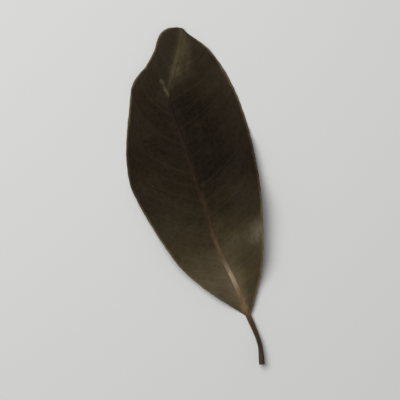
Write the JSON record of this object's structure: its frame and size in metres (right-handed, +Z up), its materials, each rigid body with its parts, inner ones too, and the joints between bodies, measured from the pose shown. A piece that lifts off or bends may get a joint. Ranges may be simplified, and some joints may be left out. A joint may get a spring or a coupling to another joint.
{
  "type": "dried bay leaf",
  "caption": "Dried bay laurel leaf, arched and wavy, with its stalk, raised midrib and side veins, lying flat.",
  "frame": {"origin": "on the surface that the leaf lies on, under the middle of its bounding box", "axes": "+Z up, +Y from the stalk to the tip, +X across the blade; the upper face looks up"},
  "size_m": [0.0346, 0.0938, 0.0078],
  "materials": {
    "leaf": "dry leaf, satin, brown with olive green towards the stalk"
  },
  "bodies": {
    "root": {"bay_leaf": "leaf"}
  },
  "joints": []
}
